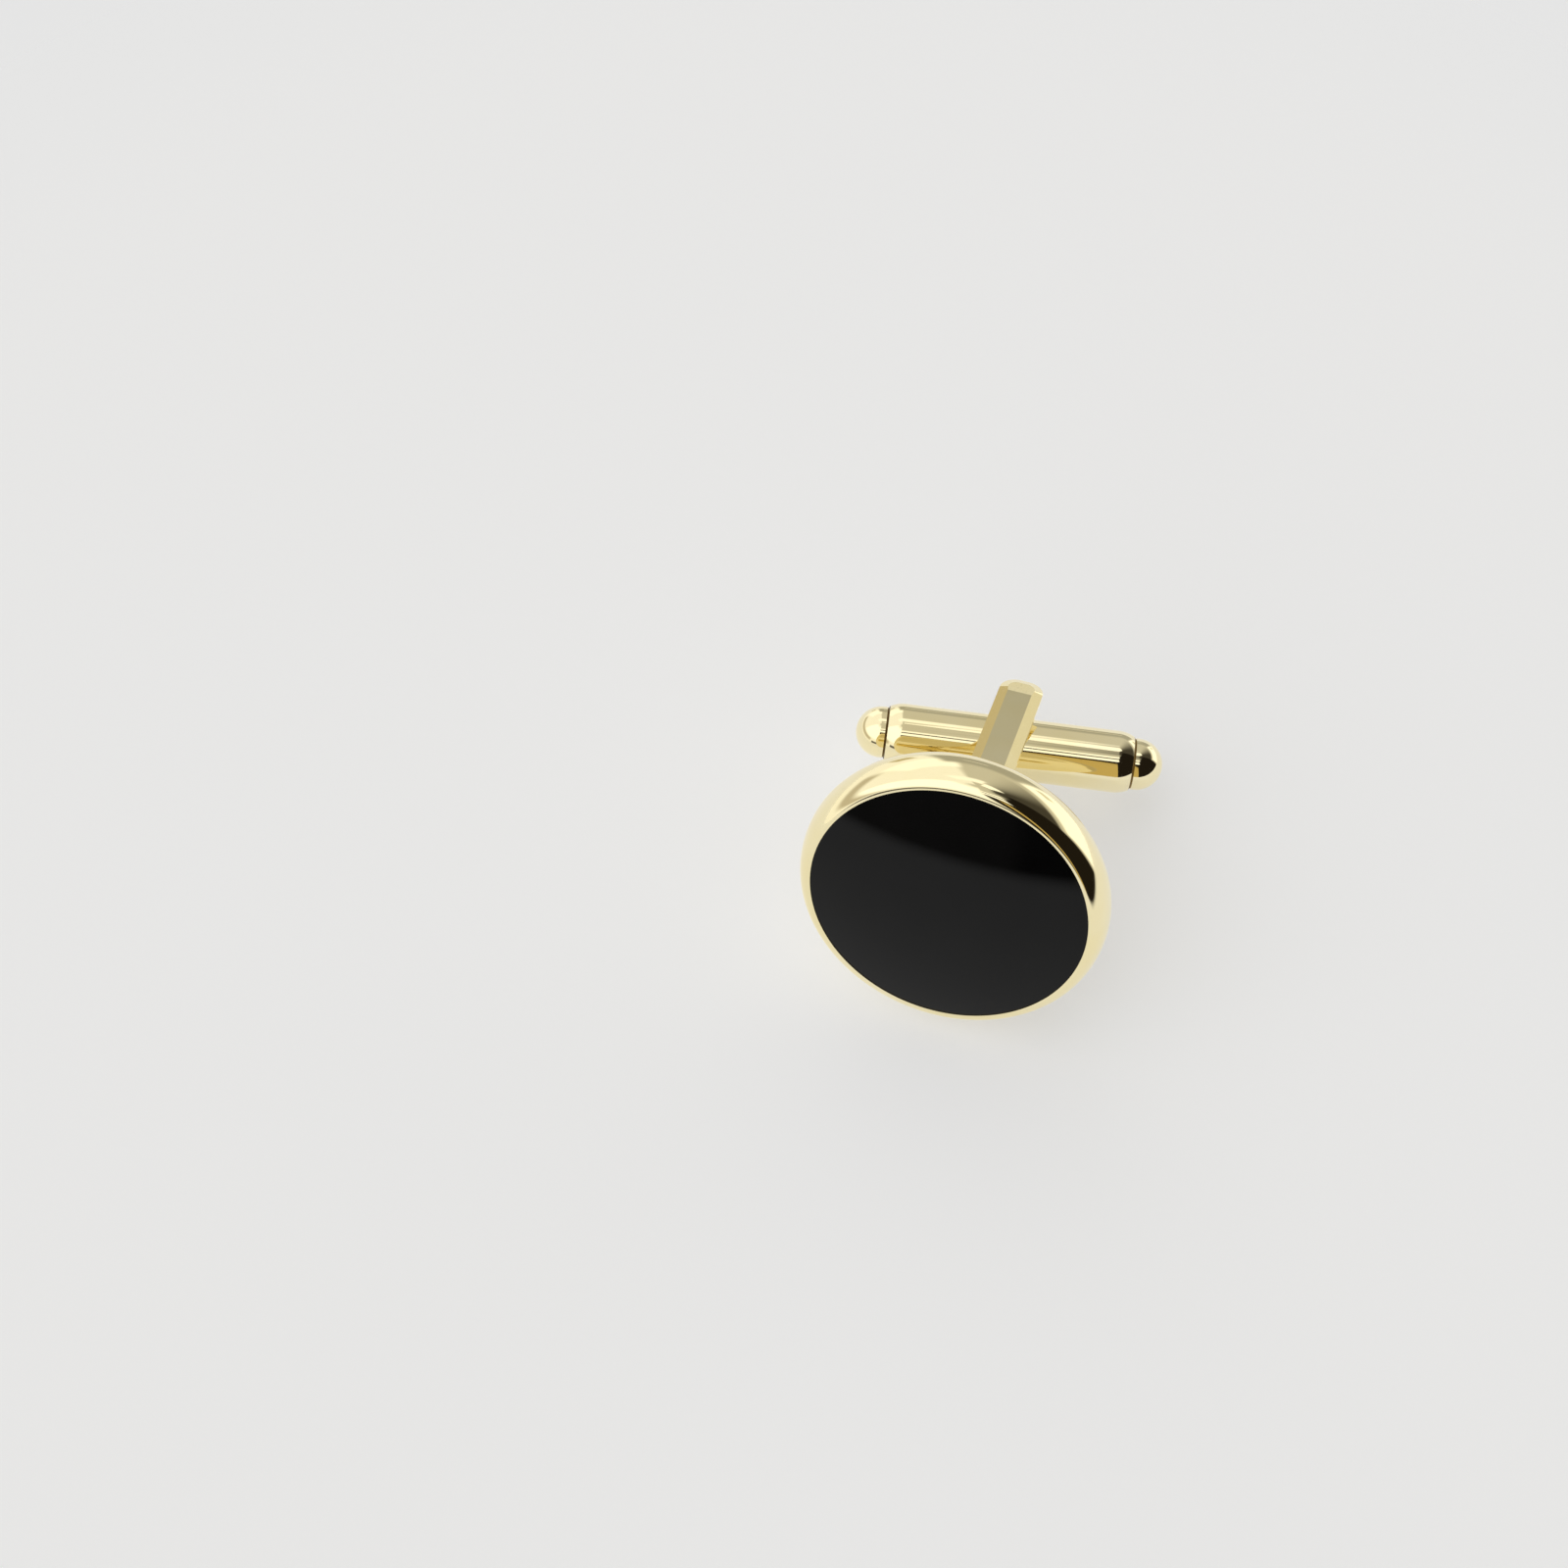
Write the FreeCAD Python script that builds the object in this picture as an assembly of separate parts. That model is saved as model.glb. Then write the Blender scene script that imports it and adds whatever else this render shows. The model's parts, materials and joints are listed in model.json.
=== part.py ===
import FreeCAD, Part
import math
import os

# Cufflink with a two-armed post and a swivel bar, lying at rest on its rim and its lower arm.
# Sizes in millimetres. Each piece is drawn about the post first (X across, Y back from the face,
# Z along the pivot, zero at the centre of the stone's edge), then all are laid down together.

V = FreeCAD.Vector

# face
face_radius = 9.0
stone_radius = 8.06
rim_front = 1.65
rim_back = 1.95
back_radius = 7.2
lip_width = 0.08
lip_height = 0.30
seat_step = 0.12
seat_depth = 1.75
cement = 0.10
stone_sink = 0.05
dome_rise = 0.85

# post
pivot_depth = 15.35
arm_width = 2.62
arm_thick = 0.70
arm_gap = 6.0
arm_past_pivot = 2.35
tip_flat = 0.50
bevel_in = 0.58
bevel_down = 0.32
tip_bevel = 0.79
dress_slope = 5.5
dress_clear = 0.07
bend_inside = 0.45

# pivot
pin_radius = 0.52
pin_flat = 0.39
head_flare = 0.14
head_depth = 0.22
bush_radius = 0.82
bush_inside = 0.35
square_clear = 0.10
running = 0.03
end_play = 0.04

# bar
bar_radius = 1.875
bar_length = 18.5
bar_wall = 0.50
shoulder_length = 1.0
shoulder_drop = 0.275
cap_step = 0.05
cap_land = 0.20
cap_spigot = 1.30
spigot_play = 0.01
seam = 0.07
bar_turn = 10.8

# spring
spring_thick = 0.18
spring_width = 1.50
spring_end_room = 0.86
spring_play = 0.01

# derived sizes
face_thick = rim_front + rim_back
arm_inner = arm_gap / 2
arm_outer = arm_inner + arm_thick
arm_tip = pivot_depth + arm_past_pivot
dress_length = arm_past_pivot - pin_radius - head_flare - dress_clear
dress_fall = math.tan(math.radians(dress_slope))
bevel_fall = bevel_down / tip_bevel
dress_run = bevel_fall * (dress_length - tip_bevel) / (bevel_fall - dress_fall)
bore_radius = bar_radius - bar_wall
end_radius = bar_radius - shoulder_drop
cap_radius = end_radius - cap_step
cap_height = seam + cap_land + cap_radius
barrel_half = bar_length / 2 - cap_height
shoulder_arc = (shoulder_length ** 2 + shoulder_drop ** 2) / (2 * shoulder_drop)
bush_from = bore_radius - bush_inside
bush_to = arm_inner - end_play
square_half = bush_from - square_clear
pin_corner = math.sqrt(pin_radius ** 2 - pin_flat ** 2)
turn = math.radians(bar_turn)
spring_mid = pin_flat * math.cos(turn) + pin_corner * math.sin(turn) + spring_play
spring_reach = barrel_half - cap_spigot - spring_end_room
spring_end = math.sqrt(bore_radius ** 2 - (spring_width / 2) ** 2) - spring_play


def line(a, b):
    return Part.LineSegment(a, b).toShape()


def three_point_arc(a, b, c):
    return Part.Arc(a, b, c).toShape()


def quarter(centre, along, across):
    # quarter of an ellipse from centre + along to centre + across
    if along.Length >= across.Length:
        curve = Part.Ellipse(centre + along, centre + across, centre)
    else:
        curve = Part.Ellipse(centre + across, centre + along, centre)
    first = curve.parameter(centre + along)
    last = curve.parameter(centre + across)
    span = (last - first) % (2 * math.pi)
    if span > math.pi:
        return Part.ArcOfEllipse(curve, last, first).toShape()
    return Part.ArcOfEllipse(curve, first, last).toShape()


def face_of(edges):
    return Part.Face(Part.Wire(Part.__sortEdges__(edges)))


def turned(edges, base, axis):
    return face_of(edges).revolve(base, axis, 360)


def polyline(points):
    return [line(a, b) for a, b in zip(points, points[1:])]


def make_face_cup():
    wall = stone_radius + seat_step
    lip = stone_radius + lip_width
    back = [V(back_radius, face_thick, 0), V(0, face_thick, 0), V(0, seat_depth, 0),
            V(wall, seat_depth, 0), V(wall, lip_height, 0), V(stone_radius, stone_sink, 0),
            V(stone_radius, 0, 0), V(lip, 0, 0)]
    front = quarter(V(lip, rim_front, 0), V(0, -rim_front, 0), V(face_radius - lip, 0, 0))
    rear = quarter(V(back_radius, rim_front, 0), V(face_radius - back_radius, 0, 0), V(0, rim_back, 0))
    return turned(polyline(back) + [front, rear], V(0, 0, 0), V(0, 1, 0))


def make_inlay():
    wall = stone_radius + seat_step
    base = seat_depth - cement
    apex = V(0, stone_sink - dome_rise, 0)
    rim = V(stone_radius, stone_sink, 0)
    dome_radius = (stone_radius ** 2 + dome_rise ** 2) / (2 * dome_rise)
    half = math.asin(stone_radius / dome_radius) / 2
    middle = V(dome_radius * math.sin(half), apex.y + dome_radius * (1 - math.cos(half)), 0)
    edges = polyline([rim, V(wall, lip_height, 0), V(wall, base, 0), V(0, base, 0), apex])
    edges.append(three_point_arc(apex, middle, rim))
    return turned(edges, V(0, 0, 0), V(0, 1, 0))


def make_cement_bed():
    radius = stone_radius + seat_step
    return Part.makeCylinder(radius, cement, V(0, seat_depth - cement, 0), V(0, 1, 0))


def fork_outline():
    # side view of the bent strip
    inner_start = face_thick + arm_thick
    outer_bend = bend_inside + arm_thick
    high = arm_outer - outer_bend
    low = arm_inner - bend_inside
    tilt = math.sqrt(0.5)
    edges = [line(V(0, face_thick, high), V(0, face_thick, -high)),
             line(V(0, inner_start, low), V(0, inner_start, -low))]
    for side in (1, -1):
        centre = V(0, face_thick + outer_bend, side * high)
        edges += [
            line(V(0, arm_tip, side * arm_inner), V(0, arm_tip, side * arm_outer)),
            line(V(0, arm_tip, side * arm_outer), V(0, centre.y, side * arm_outer)),
            three_point_arc(V(0, centre.y, side * arm_outer),
                            centre + V(0, -outer_bend * tilt, side * outer_bend * tilt),
                            V(0, face_thick, centre.z)),
            line(V(0, arm_tip, side * arm_inner), V(0, centre.y, side * arm_inner)),
            three_point_arc(V(0, centre.y, side * arm_inner),
                            centre + V(0, -bend_inside * tilt, side * bend_inside * tilt),
                            V(0, inner_start, centre.z)),
        ]
    return face_of(edges)


def strip_wire(half, tip, z):
    # flat blank with a blunt round end, seen along the pivot
    start = face_thick
    flat = tip_flat / 2
    round_off = half - flat
    side = tip - round_off
    bulge = round_off * math.sqrt(0.5)
    right = V(half, side, z)
    left = V(-half, side, z)
    end_right = V(flat, tip, z)
    end_left = V(-flat, tip, z)
    return Part.Wire([
        line(V(-half, start, z), V(half, start, z)),
        line(V(half, start, z), right),
        three_point_arc(right, V(flat + bulge, side + bulge, z), end_right),
        line(end_right, end_left),
        three_point_arc(end_left, V(-flat - bulge, side + bulge, z), left),
        line(left, V(-half, start, z)),
    ])


def dressing_wedge(side):
    # what is filed off the outer face of an arm's last stretch
    start = arm_tip - dress_length
    beyond = arm_tip + arm_thick
    low = arm_outer - (beyond - start) * dress_fall
    high = arm_outer + arm_thick
    edges = polyline([V(-arm_width, start, side * arm_outer), V(-arm_width, beyond, side * low),
                      V(-arm_width, beyond, side * high), V(-arm_width, start, side * high),
                      V(-arm_width, start, side * arm_outer)])
    return face_of(edges).extrude(V(2 * arm_width, 0, 0))


def make_post_fork():
    half = arm_width / 2
    bent = fork_outline().extrude(V(arm_width, 0, 0))
    bent.translate(V(-half, 0, 0))
    # blank with bevelled outer edges, taken at both arms
    flat = arm_outer - bevel_down
    body = Part.Face(strip_wire(half, arm_tip, -flat)).extrude(V(0, 0, 2 * flat))
    for side in (1, -1):
        low = strip_wire(half, arm_tip, side * flat)
        high = strip_wire(half - bevel_in, arm_tip - tip_bevel, side * arm_outer)
        body = body.fuse(Part.makeLoft([low, high], True, True))
    fork = bent.common(body.removeSplitter())
    hole = Part.makeCylinder(pin_radius, 2 * arm_outer, V(0, pivot_depth, -arm_outer))
    fork = fork.cut(hole)
    for side in (1, -1):
        sink = Part.makeCone(pin_radius, pin_radius + head_flare, head_depth,
                             V(0, pivot_depth, side * (arm_outer - head_depth)), V(0, 0, side))
        fork = fork.cut(sink)
        fork = fork.cut(dressing_wedge(side))
    return fork.removeSplitter()


def make_pivot_pin():
    pin = Part.makeCylinder(pin_radius, 2 * arm_outer, V(0, pivot_depth, -arm_outer))
    for side in (1, -1):
        head = Part.makeCone(pin_radius, pin_radius + head_flare, head_depth,
                             V(0, pivot_depth, side * (arm_outer - head_depth)), V(0, 0, side))
        pin = pin.fuse(head)
    reach = 2 * pin_radius
    for dx, dy in ((1, 0), (-1, 0), (0, 1), (0, -1)):
        slab = Part.makeBox(reach, reach, 2 * square_half,
                            V(-reach / 2, pivot_depth - reach / 2, -square_half))
        slab.translate(V(dx * (pin_flat + reach / 2), dy * (pin_flat + reach / 2), 0))
        pin = pin.cut(slab)
    return pin.removeSplitter()


def make_bush(side):
    length = bush_to - bush_from
    base = V(0, pivot_depth, side * bush_from)
    axis = V(0, 0, side)
    tube = Part.makeCylinder(bush_radius, length, base, axis)
    return tube.cut(Part.makeCylinder(pin_radius + running, length, base, axis))


def shoulder_at(run):
    # radius of the barrel's rounded end, run along it from the plain cylinder
    return bar_radius - shoulder_arc + math.sqrt(shoulder_arc ** 2 - run ** 2)


def make_toggle_barrel():
    plain = barrel_half - shoulder_length
    run = shoulder_length - seam
    middle = run / 2
    edges = polyline([V(barrel_half, end_radius - seam, 0), V(barrel_half, bore_radius, 0),
                      V(-barrel_half, bore_radius, 0), V(-barrel_half, end_radius - seam, 0)])
    edges.append(line(V(-plain, bar_radius, 0), V(plain, bar_radius, 0)))
    for side in (1, -1):
        start = V(side * plain, bar_radius, 0)
        end = V(side * (plain + run), shoulder_at(run), 0)
        edges.append(three_point_arc(start, V(side * (plain + middle), shoulder_at(middle), 0), end))
        edges.append(line(end, V(side * barrel_half, end_radius - seam, 0)))
    tube = turned(edges, V(0, 0, 0), V(1, 0, 0))
    tube.translate(V(0, pivot_depth, 0))
    return tube.cut(Part.makeCylinder(bush_radius, 4 * bar_radius, V(0, pivot_depth, -2 * bar_radius)))


def make_toggle_cap(side):
    spigot = bore_radius - spigot_play
    x0 = barrel_half
    dome = x0 + seam + cap_land
    lean = cap_radius * math.sqrt(0.5)
    apex = V(dome + cap_radius, 0, 0)
    points = [apex, V(x0 - cap_spigot, 0, 0), V(x0 - cap_spigot, spigot, 0), V(x0, spigot, 0),
              V(x0, cap_radius - seam, 0), V(x0 + seam, cap_radius, 0), V(dome, cap_radius, 0)]
    edges = polyline(points)
    edges.append(three_point_arc(points[-1], V(dome + lean, lean, 0), apex))
    cap = turned(edges, V(0, 0, 0), V(1, 0, 0))
    if side < 0:
        cap.rotate(V(0, 0, 0), V(0, 0, 1), 180)
    cap.translate(V(0, pivot_depth, 0))
    return cap


def make_detent_spring():
    inner = [V(-spring_reach, spring_end - spring_thick, 0), V(0, spring_mid, 0),
             V(spring_reach, spring_end - spring_thick, 0)]
    outer = [p + V(0, spring_thick, 0) for p in inner]
    edges = [three_point_arc(*inner), three_point_arc(*outer), line(inner[0], outer[0]),
             line(inner[2], outer[2])]
    leaf = face_of(edges).extrude(V(0, 0, spring_width))
    leaf.translate(V(0, pivot_depth, -spring_width / 2))
    return leaf


def rim_reach(tilt):
    # how far the rim hangs below the centre of the stone's edge
    c, s = math.cos(tilt), math.sin(tilt)
    swell = math.hypot((face_radius - back_radius) * c, rim_back * s)
    return back_radius * c + rim_front * s + swell


def arm_reach(tilt):
    # how far the lower arm's end hangs below the same point
    c, s = math.cos(tilt), math.sin(tilt)
    crease = arm_tip - dress_length
    edge = (crease + dress_run) * s + (arm_outer - dress_run * dress_fall) * c
    return max(crease * s + arm_outer * c, edge, arm_tip * s + (arm_outer - bevel_down) * c)


def rest_tilt():
    low, high = 0.0, math.radians(60)
    for _ in range(60):
        middle = (low + high) / 2
        if arm_reach(middle) < rim_reach(middle):
            low = middle
        else:
            high = middle
    return (low + high) / 2


fixed = {
    "face_cup": make_face_cup(),
    "inlay": make_inlay(),
    "cement_bed": make_cement_bed(),
    "post_fork": make_post_fork(),
    "pivot_pin": make_pivot_pin(),
}
swivel = {
    "bush_upper": make_bush(1),
    "bush_lower": make_bush(-1),
    "toggle_barrel": make_toggle_barrel(),
    "toggle_cap_left": make_toggle_cap(-1),
    "toggle_cap_right": make_toggle_cap(1),
    "detent_spring": make_detent_spring(),
}
for shape in swivel.values():
    shape.rotate(V(0, pivot_depth, 0), V(0, 0, 1), bar_turn)

pieces = dict(fixed)
pieces.update(swivel)
tilt = rest_tilt()
for shape in pieces.values():
    shape.rotate(V(0, 0, 0), V(1, 0, 0), -math.degrees(tilt))

box = FreeCAD.BoundBox()
for shape in pieces.values():
    box.add(shape.optimalBoundingBox(False))
shift = V(-box.Center.x, -box.Center.y, rim_reach(tilt))

os.makedirs("parts", exist_ok=True)
for name, shape in pieces.items():
    shape.translate(shift)
    shape.exportStep("parts/" + name + ".step")
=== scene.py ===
import json
import math

import bmesh
import bpy
from mathutils import Matrix, Vector


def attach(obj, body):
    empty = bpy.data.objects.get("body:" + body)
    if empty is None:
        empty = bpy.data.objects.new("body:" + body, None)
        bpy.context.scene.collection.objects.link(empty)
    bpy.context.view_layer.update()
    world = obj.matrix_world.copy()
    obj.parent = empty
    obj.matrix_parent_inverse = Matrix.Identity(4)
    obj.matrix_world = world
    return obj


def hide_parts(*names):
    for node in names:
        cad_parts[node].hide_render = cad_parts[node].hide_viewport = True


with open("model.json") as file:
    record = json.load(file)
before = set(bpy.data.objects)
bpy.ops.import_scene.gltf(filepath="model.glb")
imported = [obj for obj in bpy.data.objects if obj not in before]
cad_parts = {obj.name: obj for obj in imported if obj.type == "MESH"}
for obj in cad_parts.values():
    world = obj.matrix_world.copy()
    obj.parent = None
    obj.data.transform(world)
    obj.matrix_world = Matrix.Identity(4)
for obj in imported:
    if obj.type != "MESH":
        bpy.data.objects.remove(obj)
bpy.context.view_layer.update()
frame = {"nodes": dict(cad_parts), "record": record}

# Sizes are in metres, apart from the lens and the sensor in millimetres. Angles are in degrees.

# camera, on an orbit round the point that the middle of the picture looks at
aim_point = Vector((-0.011106, -0.002659, 0.009592))
camera_distance = 0.178332
camera_azimuth = 18.252
camera_elevation = 57.969
camera_roll = -1.496
camera_lens = 71.14
camera_sensor = 36.0
camera_near = 0.01

# floor and backdrop: the camera and the gold see the glow, and the gold alone sees the gleam
floor_radius = 0.105
floor_fade = 0.040
floor_corners = 128
floor_grey = (0.50, 0.503, 0.51)
floor_roughness = 0.9
floor_specular = 0.1
floor_glow = 0.44
floor_gleam = 0.07
backdrop_grey = (0.78, 0.78, 0.78)
pure_white = (1.0, 1.0, 1.0)

# face, by radius from the post's line and depth behind the stone's edge
face_radius = 0.0090
stone_radius = 0.00806
rim_front = 0.00165
rim_back = 0.00195
back_radius = 0.0072
lip_width = 0.00008
lip_height = 0.00030
seat_step = 0.00012
seat_depth = 0.00175
cement_film = 0.00010
stone_sink = 0.00005
dome_rise = 0.00085
pivot_depth = 0.01535

# bar, by radius from its own line and distance from the pivot
bar_radius = 0.001875
bar_length = 0.0185
bar_wall = 0.00050
shoulder_length = 0.0010
shoulder_drop = 0.000275
cap_step = 0.00005
cap_land = 0.00020
cap_spigot = 0.00130
spigot_play = 0.00001
seam = 0.00007
bar_turn = 10.8
bush_radius = 0.00082

# fineness of turned pieces, and the angle up to which neighbouring facets look like one smooth face
turning_steps = 288
curve_steps = 40
smooth_limit = 25

# finishes
gold_bright = (0.95, 0.86, 0.575)
gold_warm = (0.93, 0.82, 0.49)
# painted shade for the seams: a dark brown to black on the barrel's end chamfers, where the gap between
# barrel and cap lies in shade
seam_shade_brown = (0.24, 0.17, 0.08)
seam_shade_black = (0.08, 0.055, 0.03)
stone_black = (0.0020, 0.0020, 0.0021)
stone_grey = (0.0034, 0.0034, 0.0036)
stone_ior = 1.27
steel_light = (0.62, 0.62, 0.60)
steel_dark = (0.40, 0.39, 0.37)
cement_clear = (0.56, 0.52, 0.44)
cement_yellow = (0.47, 0.41, 0.30)

# studio panels round the object, a later one in front of an earlier one: middle, half width and side
# softness of the azimuth (0 is the front, 90 the right), lowest and highest elevation and their softness,
# and the light
room_light = (0.62, 0.60, 0.54)
studio_panels = {
    "left wall": (-80, 80, 8, -20, 80, 8, (1.05, 1.04, 1.01)),
    "left window": (-38, 36, 8, 14, 72, 8, (1.35, 1.35, 1.33)),
    "rear left window": (-146, 16, 6, 6, 30, 6, (1.25, 1.24, 1.21)),
    "rear left skylight": (-160, 24, 8, 58, 70, 6, (1.20, 1.19, 1.16)),
    "left table edge": (-78, 40, 10, -2, 10, 8, (0.58, 0.53, 0.44)),
    "rear table edge": (-177, 16, 6, -20, 15, 10, (0.42, 0.41, 0.37)),
    "rear sheet": (-174, 4, 2, 4.5, 6.5, 1, (0.80, 0.78, 0.71)),
    "rear left ledge": (-147, 3, 3, -11, -1, 3, (0.58, 0.50, 0.32)),
    "front gap": (-7, 17, 4, -20, 4, 3, (0.13, 0.12, 0.11)),
    "doorway side": (106, 20, 50, 24, 78, 6, (0.06, 0.054, 0.044)),
    "dark doorway": (56, 50, 5, -20, 68, 5, (0.014, 0.011, 0.008)),
    "right reflector": (137, 22, 5, -30, 17, 6, (1.30, 1.29, 1.25)),
    "rear right curtain": (154, 3, 2, 0, 8, 3, (0.78, 0.74, 0.60)),
    "warm card": (17.5, 3.5, 1.5, -12, 48, 3, (0.56, 0.41, 0.14)),
    "near lamp": (18, 14, 4, 54, 62, 1.5, (1.30, 1.29, 1.25)),
    "far lamp": (24, 20, 4, 64.5, 70, 3, (1.25, 1.24, 1.20)),
    "rear lamp": (150, 18, 5, 67, 79, 3, (1.25, 1.24, 1.20)),
}

# light that has gone from one gold piece to another takes this share of an even warm tone
between_light = (0.70, 0.63, 0.46)
between_share = 0.7
single_bounce = 1.5


def rgba(colour):
    return (*colour, 1.0)


def add_node(tree, kind, inputs=None, **settings):
    # inputs: name or number of a socket -> a socket to link from, or a constant
    node = tree.nodes.new(kind)
    for name, value in settings.items():
        setattr(node, name, value)
    for name, value in (inputs or {}).items():
        if isinstance(value, bpy.types.NodeSocket):
            tree.links.new(value, node.inputs[name])
        else:
            node.inputs[name].default_value = value
    return node


def add_math(tree, operation, *values):
    return add_node(tree, "ShaderNodeMath", dict(enumerate(values)), operation=operation).outputs[0]


def smooth_ramp(tree, value, start, stop):
    # 0 up to start, 1 from stop on
    inputs = {"Value": value, "From Min": start, "From Max": stop}
    return add_node(tree, "ShaderNodeMapRange", inputs, interpolation_type="SMOOTHSTEP").outputs[0]


def mix_colours(tree, share, first, second):
    # the colour sockets go by number, because the node has others of the same names
    first_socket, second_socket, mixed_socket = 6, 7, 2
    inputs = {"Factor": share, first_socket: first, second_socket: second}
    return add_node(tree, "ShaderNodeMix", inputs, data_type="RGBA").outputs[mixed_socket]


def new_group(name, numbers, colours, outputs):
    # numbers and colours: input -> default; outputs: output -> kind of socket
    group = bpy.data.node_groups.new(name, "ShaderNodeTree")
    inputs = {socket: ("NodeSocketFloat", value) for socket, value in numbers.items()}
    inputs.update({socket: ("NodeSocketColor", rgba(value)) for socket, value in colours.items()})
    for socket, (kind, default) in inputs.items():
        made = group.interface.new_socket(socket, in_out="INPUT", socket_type=kind)
        made.default_value = default
    for socket, kind in outputs.items():
        group.interface.new_socket(socket, in_out="OUTPUT", socket_type=kind)
    entry = group.nodes.new("NodeGroupInput")
    leave = group.nodes.new("NodeGroupOutput")
    return group, entry.outputs, leave.inputs


def place_group(tree, group, inputs):
    return add_node(tree, "ShaderNodeGroup", inputs, node_tree=group).outputs


def make_polish_group():
    # a hand-held wheel leaves long soft waves, and wiping leaves faint hairlines in the gloss
    group, given, out = new_group(
        "wheel polish",
        {"Wave Scale": 450.0, "Hairline Scale": 9000.0, "Gloss": 0.06, "Hairline Gloss": 0.05}, {},
        {"Height": "NodeSocketFloat", "Roughness": "NodeSocketFloat"})
    place = add_node(group, "ShaderNodeTexCoord").outputs["Object"]
    wave = add_node(group, "ShaderNodeTexNoise",
                    {"Vector": place, "Scale": given["Wave Scale"], "Detail": 1.0, "Roughness": 0.4})
    stretched = add_node(group, "ShaderNodeMapping",
                         {"Vector": place, "Rotation": (0.3, 0.5, 0.7), "Scale": (1.0, 0.06, 1.0)})
    hairline = add_node(group, "ShaderNodeTexNoise",
                        {"Vector": stretched.outputs[0], "Scale": given["Hairline Scale"], "Detail": 2.0})
    mask = smooth_ramp(group, hairline.outputs["Fac"], 0.55, 0.75)
    dulled = add_math(group, "MULTIPLY_ADD", mask, given["Hairline Gloss"], given["Gloss"])
    group.links.new(wave.outputs["Fac"], out["Height"])
    group.links.new(dulled, out["Roughness"])
    return group


def make_tone_group():
    # a finish that drifts slowly between two tones
    group, given, out = new_group(
        "drifting tone", {"Patch Scale": 220.0}, {"First": gold_bright, "Second": gold_warm},
        {"Color": "NodeSocketColor"})
    place = add_node(group, "ShaderNodeTexCoord").outputs["Object"]
    patch = add_node(group, "ShaderNodeTexNoise",
                     {"Vector": place, "Scale": given["Patch Scale"], "Detail": 3.0})
    share = add_node(group, "ShaderNodeMapRange",
                     {"Value": patch.outputs["Fac"], "From Min": 0.3, "From Max": 0.7}).outputs[0]
    group.links.new(mix_colours(group, share, given["First"], given["Second"]), out["Color"])
    return group


polish_group = make_polish_group()
tone_group = make_tone_group()


def new_material(name):
    material = bpy.data.materials.new(name)
    material.use_nodes = True
    tree = material.node_tree
    return material, tree, tree.nodes["Principled BSDF"]


def finish_surface(tree, shader, tones, waves, gloss, hairline_gloss=0.05, patch_scale=220.0):
    # tones: the two colours that it drifts between; waves: scale and depth of the soft waves
    first, second = tones
    tone = place_group(tree, tone_group,
                       {"First": rgba(first), "Second": rgba(second), "Patch Scale": patch_scale})
    wave_scale, wave_depth = waves
    polish = place_group(tree, polish_group,
                         {"Wave Scale": wave_scale, "Gloss": gloss, "Hairline Gloss": hairline_gloss})
    bump = add_node(tree, "ShaderNodeBump",
                    {"Strength": 1.0, "Distance": wave_depth, "Height": polish["Height"]})
    tree.links.new(tone["Color"], shader.inputs["Base Color"])
    tree.links.new(polish["Roughness"], shader.inputs["Roughness"])
    tree.links.new(bump.outputs["Normal"], shader.inputs["Normal"])


def metal(name, tones, waves, gloss, **finish):
    material, tree, shader = new_material(name)
    shader.inputs["Metallic"].default_value = 1.0
    finish_surface(tree, shader, tones, waves, gloss, **finish)
    return material


def gold_plating(name, waves, gloss):
    return metal(name, (gold_bright, gold_warm), waves, gloss)


# painted shade: the barrel's end chamfers are made dark, as the gap of the seam would be in shade
def painted_seam_shade():
    return metal("painted shade in the seams", (seam_shade_brown, seam_shade_black), waves=(1500.0, 3.0e-6), gloss=0.40,
                 hairline_gloss=0.10)


def spring_steel():
    return metal("rolled spring steel", (steel_light, steel_dark), waves=(2500.0, 4.0e-6), gloss=0.30,
                 hairline_gloss=0.15)


def black_stone():
    material, tree, shader = new_material("polished black stone")
    shader.inputs["IOR"].default_value = stone_ior
    finish_surface(tree, shader, (stone_black, stone_grey), waves=(160.0, 1.0e-6), gloss=0.03,
                   hairline_gloss=0.03, patch_scale=350.0)
    return material


def cured_cement():
    material, tree, shader = new_material("cured cement")
    finish_surface(tree, shader, (cement_clear, cement_yellow), waves=(900.0, 2.0e-5), gloss=0.45,
                   hairline_gloss=0.10)
    return material


pivot = frame["record"]["behaviour"]["joints"][0]
across = Vector((1.0, 0.0, 0.0))
upward = Vector(pivot["axis"]).normalized()
backward = upward.cross(across)
pivot_centre = Vector(pivot["pos_m"])
face_centre = pivot_centre - pivot_depth * backward
bar_line = math.cos(math.radians(bar_turn)) * across + math.sin(math.radians(bar_turn)) * backward

bore_radius = bar_radius - bar_wall
end_radius = bar_radius - shoulder_drop
cap_radius = end_radius - cap_step
barrel_half = bar_length / 2 - seam - cap_land - cap_radius


def smooth_curves(piece):
    mesh = piece.data
    mesh.polygons.foreach_set("use_smooth", [True] * len(mesh.polygons))
    mesh.set_sharp_from_angle(angle=math.radians(smooth_limit))


def quarter_ellipse(centre, start, end):
    # points from start to end, each given as an offset (radius, depth) from the centre
    points = []
    for step in range(curve_steps + 1):
        angle = math.pi / 2 * step / curve_steps
        points.append(tuple(c + a * math.cos(angle) + b * math.sin(angle)
                            for c, a, b in zip(centre, start, end)))
    return points


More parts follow.
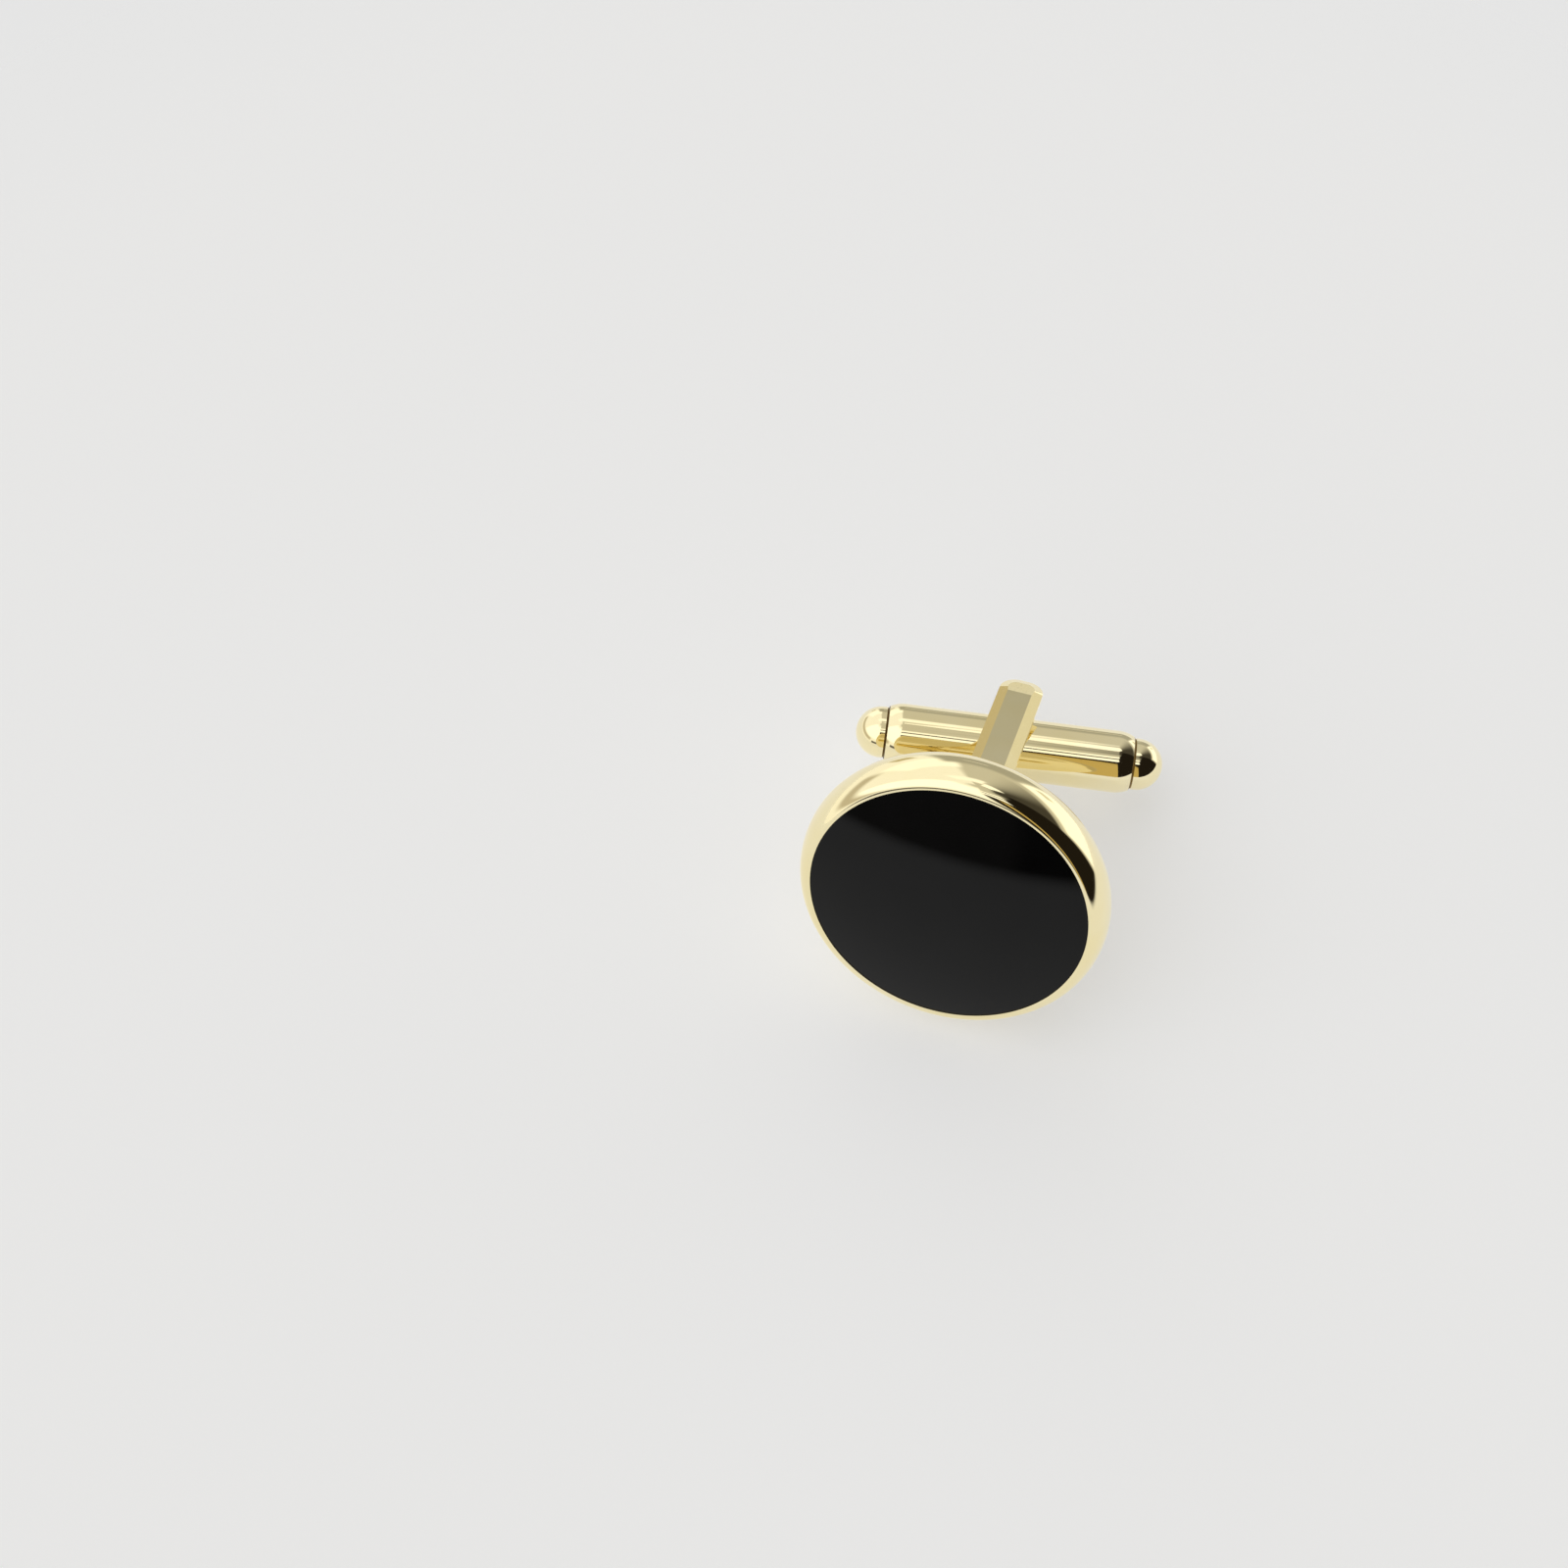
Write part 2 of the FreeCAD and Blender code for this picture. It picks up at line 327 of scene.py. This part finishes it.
def turn_profile(name, profile, centre, axis, closed=False, seams=()):
    # a profile of (radius, distance along the axis) points, turned about the axis;
    # seams are the strips, counted along the profile, that take the second material
    side = across if axis == upward else upward
    other = axis.cross(side)
    shape = bmesh.new()
    rings = []
    for radius, along in profile:
        middle = centre + along * axis
        if radius == 0.0:
            rings.append([shape.verts.new(middle)])
            continue
        ring = []
        for step in range(turning_steps):
            angle = 2 * math.pi * step / turning_steps
            outward = math.cos(angle) * side + math.sin(angle) * other
            ring.append(shape.verts.new(middle + radius * outward))
        rings.append(ring)
    followers = rings[1:] + rings[:1] if closed else rings[1:]
    for strip, (first, second) in enumerate(zip(rings, followers)):
        for step in range(turning_steps):
            follow = (step + 1) % turning_steps
            corners = [first[step % len(first)], first[follow % len(first)],
                       second[follow % len(second)], second[step % len(second)]]
            face = shape.faces.new(list(dict.fromkeys(corners)))
            face.material_index = int(strip in seams)
    bmesh.ops.recalc_face_normals(shape, faces=shape.faces)
    mesh = bpy.data.meshes.new(name)
    shape.to_mesh(mesh)
    shape.free()
    piece = bpy.data.objects.new(name, mesh)
    bpy.context.scene.collection.objects.link(piece)
    smooth_curves(piece)
    return piece


def make_rim_cup():
    wall = stone_radius + seat_step
    lip = stone_radius + lip_width
    thick = rim_front + rim_back
    rear = quarter_ellipse((back_radius, rim_front), (0.0, rim_back), (face_radius - back_radius, 0.0))
    front = quarter_ellipse((lip, rim_front), (face_radius - lip, 0.0), (0.0, -rim_front))
    seat = [(stone_radius, 0.0), (stone_radius, stone_sink), (wall, lip_height), (wall, seat_depth),
            (0.0, seat_depth)]
    return turn_profile("rim_cup", [(0.0, thick)] + rear + front[1:] + seat, face_centre, backward)


def make_domed_stone():
    wall = stone_radius + seat_step
    dome = (stone_radius ** 2 + dome_rise ** 2) / (2 * dome_rise)
    reach = math.asin(stone_radius / dome)
    apex = stone_sink - dome_rise
    arc = [(dome * math.sin(reach * step / curve_steps),
            apex + dome * (1 - math.cos(reach * step / curve_steps))) for step in range(1, curve_steps + 1)]
    base = seat_depth - cement_film
    profile = [(0.0, apex)] + arc + [(wall, lip_height), (wall, base), (0.0, base)]
    return turn_profile("domed_stone", profile, face_centre, backward)


def bore_through(piece, radius):
    # a hole along the pivot, right through the piece
    reach = 2 * bar_radius
    drill = turn_profile("drill", [(0.0, -reach), (radius, -reach), (radius, reach), (0.0, reach)],
                         pivot_centre, upward)
    cut = piece.modifiers.new("bore", "BOOLEAN")
    cut.operation = "DIFFERENCE"
    cut.solver = "EXACT"
    cut.object = drill
    bored = bpy.data.meshes.new_from_object(piece.evaluated_get(bpy.context.evaluated_depsgraph_get()))
    piece.modifiers.clear()
    piece.data = bored
    smooth_curves(piece)
    bpy.data.objects.remove(drill)


def make_barrel():
    plain = barrel_half - shoulder_length
    run = shoulder_length - seam
    bow = (shoulder_length ** 2 + shoulder_drop ** 2) / (2 * shoulder_drop)
    shoulder = []
    for step in range(curve_steps + 1):
        along = run * step / curve_steps
        shoulder.append((bar_radius - bow + math.sqrt(bow ** 2 - along ** 2), plain + along))
    right = shoulder + [(end_radius - seam, barrel_half), (bore_radius, barrel_half)]
    left = [(radius, -along) for radius, along in reversed(right)]
    profile = left + right
    bore_wall = len(profile) - 1
    # the strips of the end chamfers, which take the painted seam shade
    ends = (0, 1, bore_wall - 2, bore_wall - 1)
    barrel = turn_profile("bar_barrel", profile, pivot_centre, bar_line, closed=True, seams=ends)
    bore_through(barrel, bush_radius)
    return barrel


def make_cap(name, axis):
    spigot = bore_radius - spigot_play
    dome = barrel_half + seam + cap_land
    crown = quarter_ellipse((0.0, dome), (0.0, cap_radius), (cap_radius, 0.0))
    crown[0] = (0.0, dome + cap_radius)
    tail = [(cap_radius, barrel_half + seam), (cap_radius - seam, barrel_half), (spigot, barrel_half),
            (spigot, barrel_half - cap_spigot), (0.0, barrel_half - cap_spigot)]
    return turn_profile(name, crown + tail, pivot_centre, axis)


turned_pieces = {
    "face_cup": (make_rim_cup(), "face", "face_gold"),
    "inlay": (make_domed_stone(), "face", "inlay_black"),
    "toggle_barrel": (make_barrel(), "bar", "bar_gold"),
    "toggle_cap_left": (make_cap("bar_cap_left", -bar_line), "bar", "cap_gold"),
    "toggle_cap_right": (make_cap("bar_cap_right", bar_line), "bar", "cap_gold"),
}
for node, (piece, body, slot) in turned_pieces.items():
    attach(piece, body)
    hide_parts(node)

finishes = {
    "face_cup": gold_plating("gold plating on the rim", waves=(260.0, 6.0e-6), gloss=0.05),
    "post_fork": gold_plating("gold plating on the post", waves=(420.0, 5.0e-6), gloss=0.06),
    "pivot_pin": gold_plating("gold plating on the pin", waves=(900.0, 3.0e-6), gloss=0.08),
    "bush_upper": gold_plating("gold plating on the bushes", waves=(900.0, 3.0e-6), gloss=0.08),
    "toggle_barrel": gold_plating("gold plating on the bar", waves=(330.0, 5.0e-6), gloss=0.05),
    "toggle_cap_left": gold_plating("gold plating on the caps", waves=(500.0, 4.0e-6), gloss=0.05),
    "inlay": black_stone(),
    "detent_spring": spring_steel(),
    "cement_bed": cured_cement(),
}
finishes["bush_lower"] = finishes["bush_upper"]
finishes["toggle_cap_right"] = finishes["toggle_cap_left"]
for node, material in finishes.items():
    for place in frame["nodes"][node].material_slots:
        place.material = material
    if node in turned_pieces:
        turned_pieces[node][0].data.materials.append(material)
# the barrel's end chamfers take the painted seam shade as their second material
turned_pieces["toggle_barrel"][0].data.materials.append(painted_seam_shade())


def make_floor():
    mesh = bpy.data.meshes.new("floor")
    corners = []
    for step in range(floor_corners):
        angle = 2 * math.pi * step / floor_corners
        corners.append((aim_point.x + floor_radius * math.cos(angle),
                        aim_point.y + floor_radius * math.sin(angle), 0.0))
    mesh.from_pydata(corners, [], [range(floor_corners)])
    floor = bpy.data.objects.new("floor", mesh)
    bpy.context.scene.collection.objects.link(floor)
    mesh.materials.append(pale_paper())


def pale_paper():
    material, tree, shader = new_material("pale paper")
    shader.inputs["Roughness"].default_value = floor_roughness
    shader.inputs["Specular IOR Level"].default_value = floor_specular
    shader.inputs["Base Color"].default_value = rgba(floor_grey)
    shader.inputs["Emission Color"].default_value = rgba(pure_white)
    seen = add_node(tree, "ShaderNodeLightPath").outputs
    direct = add_math(tree, "MAXIMUM", seen["Is Camera Ray"], seen["Is Glossy Ray"])
    gleam = add_math(tree, "MULTIPLY", seen["Is Glossy Ray"], floor_gleam)
    glow = add_math(tree, "MULTIPLY_ADD", direct, floor_glow, gleam)
    tree.links.new(glow, shader.inputs["Emission Strength"])
    # the paper's edge melts into the backdrop
    place = add_node(tree, "ShaderNodeTexCoord").outputs["Object"]
    away = add_node(tree, "ShaderNodeVectorMath", {0: place, 1: (aim_point.x, aim_point.y, 0.0)},
                    operation="DISTANCE").outputs["Value"]
    faded = smooth_ramp(tree, away, floor_radius - floor_fade, floor_radius)
    tree.links.new(add_math(tree, "SUBTRACT", 1.0, faded), shader.inputs["Alpha"])
    return material


def make_panel_group():
    # a soft-edged panel of light, by where it stands round the object and how high
    group, given, out = new_group(
        "studio panel",
        {"Azimuth": 0.0, "Elevation": 0.0, "Middle": 0.0, "Half Width": 0.5, "Side Softness": 0.1,
         "Low": 0.0, "High": 0.5, "Softness": 0.1},
        {"Behind": room_light, "Panel": pure_white}, {"Color": "NodeSocketColor"})
    aside = add_math(group, "SUBTRACT", given["Azimuth"], given["Middle"])
    aside = add_math(group, "ABSOLUTE", add_math(group, "WRAP", aside, math.pi, -math.pi))
    past_side = add_math(group, "SUBTRACT", aside, given["Half Width"])
    within = add_math(group, "SUBTRACT", 1.0, smooth_ramp(group, past_side, 0.0, given["Side Softness"]))
    past_low = add_math(group, "SUBTRACT", given["Elevation"], given["Low"])
    past_high = add_math(group, "SUBTRACT", given["Elevation"], given["High"])
    over_low = smooth_ramp(group, past_low, 0.0, given["Softness"])
    under_high = add_math(group, "SUBTRACT", 1.0, smooth_ramp(group, past_high, 0.0, given["Softness"]))
    height = add_math(group, "MULTIPLY", over_low, under_high)
    share = add_math(group, "MULTIPLY", within, height)
    group.links.new(mix_colours(group, share, given["Behind"], given["Panel"]), out["Color"])
    return group


def make_world():
    world = bpy.data.worlds.new("studio")
    bpy.context.scene.world = world
    world.use_nodes = True
    tree = world.node_tree
    tree.nodes.clear()
    group = make_panel_group()
    direction = add_node(tree, "ShaderNodeTexCoord").outputs["Generated"]
    axis = add_node(tree, "ShaderNodeSeparateXYZ", {0: direction}).outputs
    forward = add_math(tree, "MULTIPLY", axis["Y"], -1.0)
    azimuth = add_math(tree, "ARCTAN2", axis["X"], forward)
    elevation = add_math(tree, "ARCSINE", axis["Z"])
    colour = rgba(room_light)
    for middle, half, side_soft, low, high, soft, light in studio_panels.values():
        sizes = {"Middle": middle, "Half Width": half, "Side Softness": side_soft, "Low": low, "High": high,
                 "Softness": soft}
        inputs = {name: math.radians(value) for name, value in sizes.items()}
        inputs.update({"Azimuth": azimuth, "Elevation": elevation, "Behind": colour, "Panel": rgba(light)})
        colour = place_group(tree, group, inputs)["Color"]
    path = add_node(tree, "ShaderNodeLightPath").outputs
    again = add_math(tree, "GREATER_THAN", path["Glossy Depth"], single_bounce)
    share = add_math(tree, "MULTIPLY", again, between_share)
    reflected = mix_colours(tree, share, colour, rgba(between_light))
    lit = add_node(tree, "ShaderNodeBackground", {"Color": reflected, "Strength": 1.0})
    plain = add_node(tree, "ShaderNodeBackground", {"Color": rgba(backdrop_grey), "Strength": 1.0})
    shown = add_node(tree, "ShaderNodeMixShader",
                     {0: path["Is Camera Ray"], 1: lit.outputs[0], 2: plain.outputs[0]})
    leave = add_node(tree, "ShaderNodeOutputWorld")
    tree.links.new(shown.outputs[0], leave.inputs["Surface"])


def make_camera():
    data = bpy.data.cameras.new("camera")
    data.lens = camera_lens
    data.sensor_width = camera_sensor
    data.clip_start = camera_near
    turn = (Matrix.Rotation(math.radians(camera_azimuth), 4, "Z")
            @ Matrix.Rotation(math.radians(90.0 - camera_elevation), 4, "X")
            @ Matrix.Rotation(math.radians(camera_roll), 4, "Z"))
    camera = bpy.data.objects.new("camera", data)
    camera.matrix_world = Matrix.Translation(aim_point) @ turn @ Matrix.Translation((0, 0, camera_distance))
    bpy.context.scene.collection.objects.link(camera)
    bpy.context.scene.camera = camera


make_floor()
make_world()
make_camera()
bpy.context.scene.view_settings.view_transform = "Standard"
